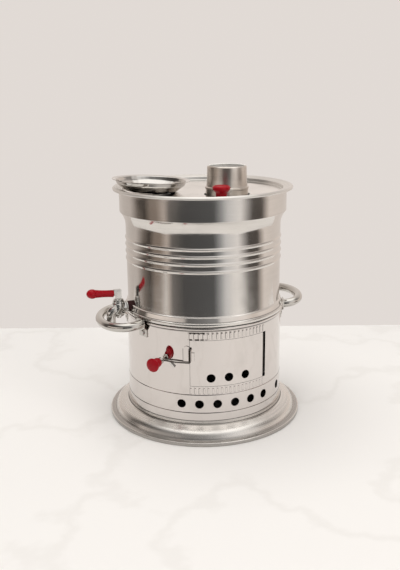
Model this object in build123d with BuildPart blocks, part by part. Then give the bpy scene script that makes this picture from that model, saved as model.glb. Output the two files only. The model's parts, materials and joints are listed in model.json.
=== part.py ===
"""Charcoal and wood samovar in stainless sheet: a firebox with a door below, a water tank with a
flue through it above, a lift-off lid, two bow handles and a plug tap. Millimetres, +Z up, origin on
the axis at the foot's underside. The front is -Y, and the tap stands over the handle on -X.
A turn is an angle in degrees about the axis, counted from the front towards +X.
"""

import os
from math import cos, radians, sin

from build123d import *

# ---------------------------------------------------------------- driving dimensions
SHEET = 0.8  # stainless sheet of all the pressed and rolled shells
FIT = 0.05  # gap left where one shell is pushed into another
FIREBOX_R = 110.0  # outside of the firebox
TANK_R = 108.0  # outside of the water tank
RING_R = 115.6  # outside of the tank's straight top ring
LID_R = 124.4  # outside of the lid's rolled rim
FOOT_R = 138.6  # outside of the foot

FOOT_TOP = 23.6  # top edge of the foot's collar
FIREBOX_BOTTOM = 19.6
STEP = 0.45  # each of the two shallow steps pressed in the firebox
SEAM_Z = 155.6  # where the firebox's rolled edge meets the tank's skirt
CREASE_Z = 168.2  # the pressed line above the skirt
TANK_TOP = 324.4
LID_FLOOR = 320.0  # upper face of the lid's sunk floor
CHIMNEY_TOP = 358.0

DOOR_TURN = -3.5  # the door is centred this far round from the front
DOOR_SPAN = 56.0  # degrees of wall that the door covers
DOOR_BOTTOM = 73.3
DOOR_TOP = 137.2
DOOR_GAP = 0.4
HINGE_R = 107.4  # radius of the door's pin from the axis
HINGE_LEAD = 2.3  # from the door's edge to the pin, along the wall
HINGE_SLOT = 3.4  # from the pin to the far edge of the slot

AIR_HOLE_R = 6.0
AIR_PITCH = 12.7  # degrees between air holes
LOW_AIR_Z = 47.6
DOOR_AIR_Z = 84.6

HANDLE_ROD_R = 6.0
HANDLE_WALL = 1.2
HANDLE_FOOT = 110.0  # where the bow's height is measured, out from the axis
HANDLE_Z = {"left": 151.4, "right": 154.3}  # the right one is riveted a little higher
HANDLE_TILT = {"left": -5.7, "right": 7.4}  # degrees that the bow is bent up, as made by hand
HANDLE_REACH = {"left": 151.6, "right": 145.0}  # from the axis to the middle of the rod
HANDLE_DEPTH = {"left": 32.0, "right": 27.0}  # half the bow's ellipse, outwards
HANDLE_HALF = {"left": 46.5, "right": 43.5}  # half the bow's ellipse, along the wall

TAP_Z = 165.2
PLUG_X = -126.0  # the tap's upright plug
PLUG_TOP_R = 5.6
PLUG_BOTTOM_R = 4.7
TAP_TOP = 174.8
TAP_BOTTOM = 153.6
RUNNING_GAP = 0.05

CHIMNEY = (12.8, -54.5)  # the flue stands off the axis, to the front right
DISH = (-72.4, 8.6)  # where the teapot dish lies on the lid
KNOB = (-14.9, -101.0)  # the lid's knob, near its front edge

LATCH_TURN = -51.4  # the latch's knob on the wall
LATCH_Z = 107.0
LATCH_LEG_TURN = -31.2  # the latch's upright pivot at the door's free edge
LATCH_LEG_R = 112.9
WIRE_R = 1.0

os.makedirs("parts", exist_ok=True)


def polar(radius, turn, height=0.0):
    """The point at a radius, turn and height."""
    angle = radians(turn)
    return Vector(radius * sin(angle), -radius * cos(angle), height)


def wall_plane(turn, radius, height):
    """A plane laid on the wall: X runs to the right along it, Y up, and Z points outwards."""
    angle = radians(turn)
    return Plane(
        origin=polar(radius, turn, height),
        x_dir=(cos(angle), sin(angle), 0),
        z_dir=(sin(angle), -cos(angle), 0),
    )


def upright_plane(turn):
    """A plane through the axis: X runs outwards at the turn, and Y up."""
    angle = radians(turn)
    return Plane(
        origin=(0, 0, 0),
        x_dir=(sin(angle), -cos(angle), 0),
        z_dir=(-cos(angle), -sin(angle), 0),
    )


def sector(first, last, inner, outer):
    """The corners of a flat wedge between two turns, seen from above."""
    return [
        polar(inner, first),
        polar(outer, first),
        polar(outer, (first + last) / 2),
        polar(outer, last),
        polar(inner, last),
    ]


def save(builder, name):
    """Label a finished piece and write its STEP file."""
    builder.part.label = name
    export_step(builder.part, f"parts/{name}.step")


DOOR_LEFT = DOOR_TURN - DOOR_SPAN / 2
DOOR_RIGHT = DOOR_TURN + DOOR_SPAN / 2
DEGREE = radians(1) * FIREBOX_R  # millimetres of wall in one degree
HINGE_TURN = DOOR_RIGHT + HINGE_LEAD / DEGREE
SLOT_TURN = HINGE_TURN + HINGE_SLOT / DEGREE
LID_UNDER = LID_FLOOR - SHEET

# ---------------------------------------------------------------- foot
# A wide pressed skirt: a folded hem on the table, a flat lip, a domed top and a collar that grips
# the firebox.
DOME_FOOT = (131.6, 5.4)
DOME_HEAD = (115.4, 19.3)
COLLAR_R = FIREBOX_R + 2 * STEP + FIT + SHEET

with BuildPart() as foot:
    with BuildSketch(Plane.XZ):
        with BuildLine():
            FilletPolyline((COLLAR_R, FOOT_TOP), (COLLAR_R, 19.9), DOME_HEAD, radius=0.5)
            ThreePointArc(DOME_HEAD, (126.2, 13.6), DOME_FOOT)
            FilletPolyline(DOME_FOOT, (FOOT_R, 4.4), (FOOT_R, 0), radius=1.2)
            offset(amount=SHEET, side=Side.RIGHT)
        make_face()
        with Locations((FOOT_R - 1.0, 1.1)):
            Rectangle(2.0, 2.2)
    revolve(axis=Axis.Z)
save(foot, "foot")

# ---------------------------------------------------------------- ash pan
# A shallow dished plate closes the firebox below and catches the ash.
PAN_R = FIREBOX_R + 2 * STEP - SHEET - FIT

with BuildPart() as ash_pan:
    with BuildSketch(Plane.XZ):
        with BuildLine():
            FilletPolyline((PAN_R, 30), (PAN_R, 22), (96, 20), (0, 20), radius=3)
            offset(amount=SHEET, side=Side.RIGHT)
        make_face()
    revolve(axis=Axis.Z)
save(ash_pan, "ash_pan")

# ---------------------------------------------------------------- firebox shell
# One rolled cylinder with two shallow pressed steps, a rolled upper edge, the door's opening with
# its hinge slot, and a row of air holes.
LOW_STEP_Z = 34.7
GRATE_STEP_Z = 60.4
EDGE_ROLL = 2.2
SEVENTH_HOLE = 46.2  # the last low hole stands further round than the pitch
FIRST_HOLE = -37.9
low_holes = [FIRST_HOLE + i * AIR_PITCH for i in range(6)] + [SEVENTH_HOLE]
door_holes = [DOOR_TURN - 0.8 + i * AIR_PITCH for i in (-1, 0, 1)]
BRACKET_TURN = 69.5  # the handles' feet, each side of the front and of the back
bracket_turns = {
    "left": (-BRACKET_TURN, BRACKET_TURN - 180),
    "right": (BRACKET_TURN, 180 - BRACKET_TURN),
}
RIVET_R = 2.0
RIVET_DROP = 14.0  # from the handle down to its rivets

with BuildPart() as firebox_shell:
    with BuildSketch(Plane.XZ):
        with BuildLine():
            Polyline(
                (FIREBOX_R + 2 * STEP, FIREBOX_BOTTOM),
                (FIREBOX_R + 2 * STEP, LOW_STEP_Z),
                (FIREBOX_R + STEP, LOW_STEP_Z + 0.8),
                (FIREBOX_R + STEP, GRATE_STEP_Z),
                (FIREBOX_R, GRATE_STEP_Z + 0.8),
                (FIREBOX_R, SEAM_Z - 2 * EDGE_ROLL - 0.4),
            )
            ThreePointArc(
                (FIREBOX_R, SEAM_Z - 2 * EDGE_ROLL - 0.4),
                (FIREBOX_R + EDGE_ROLL, SEAM_Z - EDGE_ROLL - 0.2),
                (FIREBOX_R, SEAM_Z),
            )
            offset(amount=SHEET, side=Side.LEFT)
        make_face()
    revolve(axis=Axis.Z)
    with BuildSketch(Plane.XY.offset(DOOR_BOTTOM - DOOR_GAP)):
        Polygon(*sector(DOOR_LEFT - DOOR_GAP / DEGREE, SLOT_TURN, 90, 130), align=None)
    extrude(amount=DOOR_TOP - DOOR_BOTTOM + 2 * DOOR_GAP, mode=Mode.SUBTRACT)
    with BuildSketch(*[wall_plane(turn, FIREBOX_R - 4, LOW_AIR_Z) for turn in low_holes]):
        Circle(AIR_HOLE_R)
    extrude(amount=10, mode=Mode.SUBTRACT)
    with BuildSketch(
        *[
            wall_plane(turn, FIREBOX_R - 4, HANDLE_Z[side] - RIVET_DROP)
            for side in bracket_turns
            for turn in bracket_turns[side]
        ]
    ):
        Circle(RIVET_R)
    extrude(amount=10, mode=Mode.SUBTRACT)
save(firebox_shell, "firebox_shell")

# ---------------------------------------------------------------- grate
# The charcoal lies on a slotted plate with a turned-down rim, on three small brackets.
GRATE_Z = 66.0
GRATE_R = FIREBOX_R - SHEET - 1.4
SLOT_PITCH = 17.0
GRATE_SLOTS = {-5: 60, -4: 104, -3: 134, -2: 152, -1: 162, 0: 166, 1: 162, 2: 152, 3: 134, 4: 104, 5: 60}

with BuildPart() as fire_grate:
    with BuildSketch(Plane.XZ):
        with BuildLine():
            FilletPolyline((GRATE_R, GRATE_Z - 8), (GRATE_R, GRATE_Z), (0, GRATE_Z), radius=2.5)
            offset(amount=1.2, side=Side.LEFT)
        make_face()
    revolve(axis=Axis.Z)
    with BuildSketch(Plane.XY.offset(GRATE_Z - 3)):
        for row, length in GRATE_SLOTS.items():
            with Locations((row * SLOT_PITCH, 0)):
                SlotOverall(length, 8, rotation=90)
    extrude(amount=5, mode=Mode.SUBTRACT)
save(fire_grate, "fire_grate")

with BuildPart() as grate_brackets:
    for turn in (60, 180, 300):
        with BuildSketch(upright_plane(turn)):
            with BuildLine():
                wall = FIREBOX_R - SHEET
                Polyline(
                    (wall, GRATE_Z - 18),
                    (wall, GRATE_Z - 8),
                    (wall - 9, GRATE_Z - 8),
                    (wall - 9, GRATE_Z - 9.2),
                    (wall - 1.2, GRATE_Z - 9.2),
                    (wall - 1.2, GRATE_Z - 18),
                    close=True,
                )
            make_face()
        extrude(amount=6, both=True)
save(grate_brackets, "grate_brackets")

# ---------------------------------------------------------------- tank
# The skirt is rolled out over the firebox's edge. Four ribs stiffen the wall, and it flares into a
# straight ring that carries the lid.
SKIRT_ROLL = 2.7
RIB_R = 1.7
RIB_PROUD = 1.2
RIB_HEIGHTS = (228.0, 238.0, 247.8, 257.6)
FLARE_FROM = 274.0
FLARE_TO = 293.6


def tank_wall():
    """The outside of the tank's wall, from the seam to the top, inside a BuildLine."""
    ThreePointArc(
        (FIREBOX_R + 0.6, SEAM_Z + 0.1),
        (FIREBOX_R + 0.6 + SKIRT_ROLL, SEAM_Z + SKIRT_ROLL),
        (FIREBOX_R + 1.5, SEAM_Z + 2 * SKIRT_ROLL),
    )
    Polyline(
        (FIREBOX_R + 1.5, SEAM_Z + 2 * SKIRT_ROLL),
        (FIREBOX_R - 0.4, CREASE_Z - 0.6),
        (TANK_R, CREASE_Z + 0.6),
        (TANK_R, RIB_HEIGHTS[0] - RIB_R),
    )
    for height, following in zip(RIB_HEIGHTS, RIB_HEIGHTS[1:] + (FLARE_FROM + RIB_R,)):
        ThreePointArc(
            (TANK_R, height - RIB_R), (TANK_R + RIB_PROUD, height), (TANK_R, height + RIB_R)
        )
        Line((TANK_R, height + RIB_R), (TANK_R, following - RIB_R))
    TangentArc((TANK_R, FLARE_FROM), (RING_R - 0.4, FLARE_TO - 0.4), tangent=(0, 1))
    Polyline((RING_R - 0.4, FLARE_TO - 0.4), (RING_R, FLARE_TO + 0.4), (RING_R, TANK_TOP))


with BuildPart() as tank_shell:
    with BuildSketch(Plane.XZ):
        with BuildLine():
            tank_wall()
            offset(amount=SHEET, side=Side.LEFT)
        make_face()
    revolve(axis=Axis.Z)
    with BuildSketch(wall_plane(-90, TANK_R - 8, TAP_Z)):
        Circle(6.1)
    extrude(amount=14, mode=Mode.SUBTRACT)
save(tank_shell, "tank_shell")

FLUE_R = 27.0
FLUE_WALL = 1.0
BOTTOM_R = FIREBOX_R - SHEET - 0.1

with BuildPart() as tank_bottom:
    with BuildSketch(Plane.XZ):
        with BuildLine():
            FilletPolyline((BOTTOM_R, SEAM_Z + 3.4), (BOTTOM_R, SEAM_Z), (0, SEAM_Z), radius=1.2)
            offset(amount=SHEET, side=Side.LEFT)
        make_face()
    revolve(axis=Axis.Z)
    with BuildSketch(Plane.XY.offset(SEAM_Z - 2)):
        with Locations(CHIMNEY):
            Circle(FLUE_R)
    extrude(amount=5, mode=Mode.SUBTRACT)
save(tank_bottom, "tank_bottom")

# ---------------------------------------------------------------- flue and chimney
# The flue is a plain tube through the water, brazed to the tank's bottom by a flange. A short
# chimney with a rolled bead is pushed into its top.
FLUE_TOP = 331.6
BEAD_R = 28.9
BEAD_Z = 334.0
STUB_R = 26.0
flue_axis = Axis((*CHIMNEY, 0), (0, 0, 1))
flue_plane = Plane(origin=(*CHIMNEY, 0), x_dir=(1, 0, 0), z_dir=(0, -1, 0))

with BuildPart() as flue_tube:
    with BuildSketch(flue_plane):
        with Locations((FLUE_R - FLUE_WALL / 2, (SEAM_Z - 2 + FLUE_TOP) / 2)):
            Rectangle(FLUE_WALL, FLUE_TOP - SEAM_Z + 2)
        with Locations((FLUE_R + 2.5, SEAM_Z + 0.5)):
            Rectangle(6.0, 1.0)
    revolve(axis=flue_axis)
save(flue_tube, "flue_tube")

with BuildPart() as chimney_stub:
    with BuildSketch(flue_plane):
        with BuildLine():
            spigot = FLUE_R - FLUE_WALL - 0.05
            Polyline((spigot, FLUE_TOP - 16), (spigot, FLUE_TOP + 0.2), (FLUE_R - 0.3, FLUE_TOP + 1.0))
            ThreePointArc(
                (FLUE_R - 0.3, FLUE_TOP + 1.0), (BEAD_R, BEAD_Z + 0.2), (FLUE_R + 0.3, BEAD_Z + 2.4)
            )
            Line((FLUE_R + 0.3, BEAD_Z + 2.4), (STUB_R, BEAD_Z + 8))
            Line((STUB_R, BEAD_Z + 8), (STUB_R, CHIMNEY_TOP - 1.2))
            offset(amount=SHEET, side=Side.LEFT)
        make_face()
        with Locations((STUB_R - 1.2, CHIMNEY_TOP - 1.2)):
            Circle(1.2)
    revolve(axis=flue_axis)
save(chimney_stub, "chimney_stub")

# ---------------------------------------------------------------- lid
# A pressed lid: a sunk floor, a step that finds the ring and a wide rim with a rolled edge. The
# flue passes through a hole with room to spare.
LID_STEP_R = 110.8
LID_ROLL = 1.7
FLUE_HOLE_R = 30.2

with BuildPart() as lid:
    with BuildSketch(Plane.XZ):
        with BuildLine():
            FilletPolyline(
                (0, LID_FLOOR),
                (LID_STEP_R - 1.2, LID_FLOOR),
                (LID_STEP_R, LID_FLOOR + 4.2),
                (LID_R - LID_ROLL, LID_FLOOR + 7.3),
                radius=1.0,
            )
            offset(amount=SHEET, side=Side.RIGHT)
        make_face()
        with Locations((LID_R - LID_ROLL, LID_FLOOR + 5.7)):
            Circle(LID_ROLL)
    revolve(axis=Axis.Z)
    with BuildSketch(Plane.XY.offset(LID_FLOOR - 4)):
        with Locations(CHIMNEY):
            Circle(FLUE_HOLE_R)
        with Locations(KNOB):
            Circle(2.1)
    extrude(amount=8, mode=Mode.SUBTRACT)
save(lid, "lid")

KNOB_TOP = LID_FLOOR + 21.0
knob_plane = Plane(origin=(*KNOB, 0), x_dir=(1, 0, 0), z_dir=(0, -1, 0))
knob_axis = Axis((*KNOB, 0), (0, 0, 1))

with BuildPart() as lid_knob:
    with BuildSketch(knob_plane):
        with BuildLine():
            Polyline((2.05, LID_FLOOR + 12), (2.05, LID_FLOOR), (6.4, LID_FLOOR), (7.3, KNOB_TOP - 10.4))
            ThreePointArc((7.3, KNOB_TOP - 10.4), (8.3, KNOB_TOP - 7.6), (10.0, KNOB_TOP - 5.8))
            ThreePointArc((10.0, KNOB_TOP - 5.8), (10.7, KNOB_TOP - 3.6), (9.8, KNOB_TOP - 1.2))
            ThreePointArc((9.8, KNOB_TOP - 1.2), (9.2, KNOB_TOP - 0.3), (8.0, KNOB_TOP))
            Polyline((8.0, KNOB_TOP), (0, KNOB_TOP), (0, LID_FLOOR + 12), (2.05, LID_FLOOR + 12))
        make_face()
    revolve(axis=knob_axis)
save(lid_knob, "lid_knob")

with BuildPart() as lid_knob_screw:
    with BuildSketch(Plane.XY.offset(LID_UNDER - 2.4)):
        with Locations(KNOB):
            Circle(4.0)
    extrude(amount=2.4)
    fillet(lid_knob_screw.edges().filter_by(GeomType.CIRCLE).sort_by(Axis.Z)[0], 1.0)
    with BuildSketch(Plane.XY.offset(LID_UNDER)):
        with Locations(KNOB):
            Circle(2.0)
    extrude(amount=12)
save(lid_knob_screw, "lid_knob_screw")

# ---------------------------------------------------------------- teapot dish
# A loose polished dish with a turned-out rim lies on the lid.
DISH_FLAT = 30.0
DISH_HEIGHT = 14.6
DISH_LEAN = radians(2.0)  # its outer side rides up on the lid's step
dish_out = Vector(*DISH).normalized()
dish_right = Vector(dish_out.X * cos(DISH_LEAN), dish_out.Y * cos(DISH_LEAN), sin(DISH_LEAN))
dish_up = Vector(-dish_out.X * sin(DISH_LEAN), -dish_out.Y * sin(DISH_LEAN), cos(DISH_LEAN))
dish_seat = (*DISH, LID_FLOOR + DISH_FLAT * sin(DISH_LEAN) + 0.1)
dish_plane = Plane(origin=dish_seat, x_dir=dish_right, z_dir=(dish_out.Y, -dish_out.X, 0))

with BuildPart() as teapot_dish:
    with BuildSketch(dish_plane):
        with BuildLine():
            Line((0, 0), (DISH_FLAT, 0))
            TangentArc((DISH_FLAT, 0), (46.6, DISH_HEIGHT - 2.4), tangent=(1, 0))
            FilletPolyline(
                (46.6, DISH_HEIGHT - 2.4), (47.4, DISH_HEIGHT - 0.8), (51.6, DISH_HEIGHT), radius=0.9
            )
            offset(amount=SHEET, side=Side.LEFT)
        make_face()
    revolve(axis=Axis(dish_seat, dish_up))
save(teapot_dish, "teapot_dish")

# ---------------------------------------------------------------- handles
# Each handle is a bow of bright tube. Its coped ends are brazed to two cranked brackets, which
# stand clear of the seam and are riveted to the firebox.
BRACKET_IN = 114.0
BRACKET_OUT = 115.2
BRACKET_HALF = 8.0  # half a bracket's width
BOW_END = 140.0  # degrees of the ellipse each side of its nose

for side, sign in (("left", -1), ("right", 1)):
    height = HANDLE_Z[side]
    rise = radians(HANDLE_TILT[side])
    bow_plane = Plane(
        origin=(sign * HANDLE_FOOT, 0, height),
        x_dir=(sign * cos(rise), 0, sin(rise)),
        z_dir=(-sign * sin(rise), 0, cos(rise)),
    )
    with BuildPart() as handle:
        with BuildLine(bow_plane):
            bow = EllipticalCenterArc(
                (HANDLE_REACH[side] - HANDLE_FOOT - HANDLE_DEPTH[side], 0),
                HANDLE_DEPTH[side],
                HANDLE_HALF[side],
                start_angle=-BOW_END,
                arc_size=2 * BOW_END,
            )
        with BuildSketch(Plane(origin=bow @ 0, z_dir=bow % 0)):
            Circle(HANDLE_ROD_R)
            Circle(HANDLE_ROD_R - HANDLE_WALL, mode=Mode.SUBTRACT)
        sweep(path=bow)
        with BuildSketch(*[wall_plane(turn, BRACKET_OUT, height) for turn in bracket_turns[side]]):
            Rectangle(44, 30)
        extrude(amount=-40, mode=Mode.SUBTRACT)
    save(handle, f"handle_{side}")

with BuildPart() as handle_brackets:
    for side, turns in bracket_turns.items():
        height = HANDLE_Z[side]
        for turn in turns:
            with BuildSketch(upright_plane(turn)):
                with BuildLine():
                    FilletPolyline(
                        (FIREBOX_R, height - 19),
                        (FIREBOX_R, height - 9),
                        (BRACKET_IN, height - HANDLE_ROD_R),
                        (BRACKET_IN, height + HANDLE_ROD_R + 1),
                        radius=1.5,
                    )
                    offset(amount=BRACKET_OUT - BRACKET_IN, side=Side.RIGHT)
                make_face()
            extrude(amount=BRACKET_HALF, both=True)
    with BuildSketch(
        *[
            wall_plane(turn, FIREBOX_R - 4, HANDLE_Z[side] - RIVET_DROP)
            for side in bracket_turns
            for turn in bracket_turns[side]
        ]
    ):
        Circle(RIVET_R)
    extrude(amount=10, mode=Mode.SUBTRACT)
save(handle_brackets, "handle_brackets")

with BuildPart() as handle_rivets:
    for side, turns in bracket_turns.items():
        for turn in turns:
            rivet_z = HANDLE_Z[side] - RIVET_DROP
            inner = FIREBOX_R - SHEET - 1.5
            outer = FIREBOX_R + BRACKET_OUT - BRACKET_IN
            with BuildSketch(wall_plane(turn, inner, rivet_z)):
                Circle(RIVET_R)
            extrude(amount=outer - inner)
            with BuildSketch(wall_plane(turn, inner, rivet_z)):
                Circle(3.6)
            extrude(amount=1.3)
            with BuildSketch(wall_plane(turn, outer, rivet_z)):
                Circle(3.8)
            extrude(amount=1.8, taper=30)
save(handle_rivets, "handle_rivets")

# ---------------------------------------------------------------- door
# A curved panel cut to the opening, with three air holes. Its right edge is cranked inwards and
# curled round the pin.
KNUCKLE_R = 1.9
PIN_R = 1.0
LUG_DEPTH = 1.6
KNUCKLE_BOTTOM = DOOR_BOTTOM + 6
KNUCKLE_TOP = DOOR_TOP - 6
hinge_plane = Plane(
    origin=polar(HINGE_R, HINGE_TURN),
    x_dir=(cos(radians(HINGE_TURN)), sin(radians(HINGE_TURN)), 0),
    z_dir=(0, 0, 1),
)
SURFACE = FIREBOX_R - HINGE_R  # how far the wall's face stands outside the pin

with BuildPart() as door:
    with BuildSketch(Plane.XY.offset(DOOR_BOTTOM)):
        Circle(FIREBOX_R)
        Circle(FIREBOX_R - SHEET, mode=Mode.SUBTRACT)
        Polygon(*sector(DOOR_LEFT, DOOR_RIGHT, 60, 150), align=None, mode=Mode.INTERSECT)
    extrude(amount=DOOR_TOP - DOOR_BOTTOM)
    with BuildSketch(*[wall_plane(turn, FIREBOX_R - 4, DOOR_AIR_Z) for turn in door_holes]):
        Circle(AIR_HOLE_R)
    extrude(amount=8, mode=Mode.SUBTRACT)
    with BuildSketch(hinge_plane.offset(KNUCKLE_BOTTOM)):
        Circle(KNUCKLE_R)
        with BuildLine():
            Polyline(
                (-HINGE_LEAD - 0.6, -SURFACE + 0.1),
                (-HINGE_LEAD + 0.3, -SURFACE + 0.1),
                (-1.2, 0),
                (-1.9, 0.2),
                (-HINGE_LEAD - 0.6, -SURFACE + SHEET),
                close=True,
            )
        make_face()
        Circle(PIN_R + RUNNING_GAP, mode=Mode.SUBTRACT)
    extrude(amount=KNUCKLE_TOP - KNUCKLE_BOTTOM)
save(door, "door")

with BuildPart() as hinge_pin:
    with BuildSketch(hinge_plane.offset(KNUCKLE_BOTTOM - 3)):
        Circle(PIN_R)
    extrude(amount=KNUCKLE_TOP - KNUCKLE_BOTTOM + 6)
save(hinge_pin, "hinge_pin")

with BuildPart() as hinge_lugs:
    for low in (KNUCKLE_BOTTOM - 0.3 - LUG_DEPTH, KNUCKLE_TOP + 0.3):
        with BuildSketch(hinge_plane.offset(low)):
            Circle(KNUCKLE_R)
            with Locations((5.5, 0.2)):
                Rectangle(11, 3.4)
            Circle(PIN_R, mode=Mode.SUBTRACT)
        extrude(amount=LUG_DEPTH)
    for low in (KNUCKLE_BOTTOM - 3.5 - LUG_DEPTH, KNUCKLE_TOP + 0.3):
        with BuildSketch(hinge_plane.offset(low)):
            with Locations((8.2, -0.2)):
                Rectangle(5.6, 2.6)
        extrude(amount=LUG_DEPTH + 3.2)
    with BuildSketch(Plane.XY.offset(DOOR_BOTTOM - 4)):
        Circle(FIREBOX_R - SHEET)
    extrude(amount=DOOR_TOP - DOOR_BOTTOM + 8, mode=Mode.INTERSECT)
save(hinge_lugs, "hinge_lugs")

# ---------------------------------------------------------------- latch
# A round-topped clip on the door's free edge holds the latch's upright leg. The wire lies along the
# wall to its knob, and rests in a small tongue spot-welded to the firebox.
CLIP_WIDTH = 9.0
CLIP_HEIGHT = 21.0
CLIP_IN = FIREBOX_R + 0.35
BARREL_R = 2.0
clip_turn = LATCH_LEG_TURN - CLIP_WIDTH / 2 / DEGREE
CLIP_BOTTOM = LATCH_Z + 1.6

with BuildPart() as latch_clip:
    with BuildSketch(Plane.XY.offset(CLIP_BOTTOM)):
        Circle(CLIP_IN + SHEET)
        Circle(CLIP_IN, mode=Mode.SUBTRACT)
        Polygon(
            *sector(LATCH_LEG_TURN - CLIP_WIDTH / DEGREE, LATCH_LEG_TURN + 5.5 / DEGREE, 60, 150),
            align=None,
            mode=Mode.INTERSECT,
        )
    extrude(amount=CLIP_HEIGHT)
    with BuildSketch(wall_plane(clip_turn, CLIP_IN - 4, CLIP_BOTTOM)):
        with Locations((0, -10)):
            Rectangle(40, 60, align=(Align.CENTER, Align.MIN))
        with BuildLine():
            Polyline((-CLIP_WIDTH / 2, CLIP_HEIGHT - 4.5), (-CLIP_WIDTH / 2, 0), (11, 0), (11, 12))
            Line((11, 12), (CLIP_WIDTH / 2, 12))
            Line((CLIP_WIDTH / 2, 12), (CLIP_WIDTH / 2, CLIP_HEIGHT - 4.5))
            ThreePointArc(
                (CLIP_WIDTH / 2, CLIP_HEIGHT - 4.5), (0, CLIP_HEIGHT), (-CLIP_WIDTH / 2, CLIP_HEIGHT - 4.5)
            )
        make_face(mode=Mode.SUBTRACT)
    extrude(amount=8, mode=Mode.SUBTRACT)
    with BuildSketch(wall_plane(LATCH_LEG_TURN, FIREBOX_R, CLIP_BOTTOM)):
        with Locations((3.6, 3), (3.6, 9)):
            Circle(1.2)
    extrude(amount=CLIP_IN - FIREBOX_R + 0.3)
    leg = Plane(origin=polar(LATCH_LEG_R, LATCH_LEG_TURN), z_dir=(0, 0, 1))
    with BuildSketch(leg.offset(CLIP_BOTTOM)):
        Circle(BARREL_R)
    extrude(amount=CLIP_HEIGHT - 5)
    with BuildSketch(leg.offset(CLIP_BOTTOM - 1)):
        Circle(WIRE_R + RUNNING_GAP)
    extrude(amount=CLIP_HEIGHT, mode=Mode.SUBTRACT)
save(latch_clip, "latch_clip")

KNOB_R0 = FIREBOX_R + 3.4  # the wire's last bend
WIRE_OUT = 14.0  # how far the wire's end stands in the knob
with BuildPart() as latch_wire:
    with BuildLine():
        path = FilletPolyline(
            polar(LATCH_LEG_R, LATCH_LEG_TURN, CLIP_BOTTOM + CLIP_HEIGHT - 4.2),
            polar(LATCH_LEG_R, LATCH_LEG_TURN, LATCH_Z),
            polar(KNOB_R0 + 0.4, (LATCH_TURN + LATCH_LEG_TURN) / 2, LATCH_Z),
            polar(KNOB_R0, LATCH_TURN, LATCH_Z),
            polar(KNOB_R0 + WIRE_OUT, LATCH_TURN, LATCH_Z),
            radius=1.5,
        )
    with BuildSketch(Plane(origin=path @ 0, z_dir=path % 0)):
        Circle(WIRE_R)
    sweep(path=path)
    with BuildSketch(leg.offset(CLIP_BOTTOM + CLIP_HEIGHT - 4.4)):
        Circle(1.7)
    extrude(amount=1.4)
save(latch_wire, "latch_wire")

knob_line = Axis((0, 0, LATCH_Z), polar(1, LATCH_TURN))
FERRULE_LENGTH = 5.4
ferrule_start = KNOB_R0 + 1.6
knob_start = ferrule_start + FERRULE_LENGTH
wire_end = KNOB_R0 + WIRE_OUT - knob_start


def latch_section(radius):
    """A plane through the knob's line: X runs outwards from the radius, and Y up from the line."""
    section = upright_plane(LATCH_TURN)
    return Plane(
        origin=polar(radius, LATCH_TURN, LATCH_Z), x_dir=section.x_dir, z_dir=section.z_dir
    )


with BuildPart() as latch_ferrule:
    with BuildSketch(latch_section(ferrule_start)):
        with BuildLine():
            Polyline(
                (0, WIRE_R),
                (0, 4.2),
                (1.4, 4.6),
                (FERRULE_LENGTH, 3.6),
                (FERRULE_LENGTH, WIRE_R),
                close=True,
            )
        make_face()
    revolve(axis=knob_line)
save(latch_ferrule, "latch_ferrule")

with BuildPart() as latch_knob:
    with BuildSketch(latch_section(knob_start)):
        with BuildLine():
            Polyline((0, WIRE_R), (0, 4.4))
            ThreePointArc((0, 4.4), (4.6, 6.4), (9, 4.9))
            ThreePointArc((9, 4.9), (11.6, 6.0), (13.6, 8.6))
            ThreePointArc((13.6, 8.6), (15, 9.3), (16.4, 8.7))
            ThreePointArc((16.4, 8.7), (17.7, 5.6), (18.3, 2))
            Polyline((18.3, 2), (18.3, 0), (wire_end, 0), (wire_end, WIRE_R), (0, WIRE_R))
        make_face()
    revolve(axis=knob_line)
save(latch_knob, "latch_knob")

with BuildPart() as latch_tongue:
    with BuildSketch(wall_plane(-44.2, FIREBOX_R - 0.1, LATCH_Z - 5.2)):
        SlotOverall(10.4, 2.6, rotation=-45)
    extrude(amount=2.6)
    with Locations((0, 0, LATCH_Z)):
        Cylinder(FIREBOX_R, 40, mode=Mode.SUBTRACT)
save(latch_tongue, "latch_tongue")

# ---------------------------------------------------------------- tap
# A chromed plug cock: a threaded shank through the tank's wall with a gasket, washer and nut, a
# round flange, an upright body and a spout that turns down through the handle's bow.
FLANGE_X = -113.7
FLANGE_R = 7.9
FLANGE_DEPTH = 2.4
SHANK_R = 6.0
SHANK_END = -97.0
SHANK_BORE_R = 3.4
BODY_R = 9.0
SPOUT_X = -137.3
SPOUT_END = 141.0
SPOUT_R = 6.2
SPOUT_BORE_R = 4.4

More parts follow.
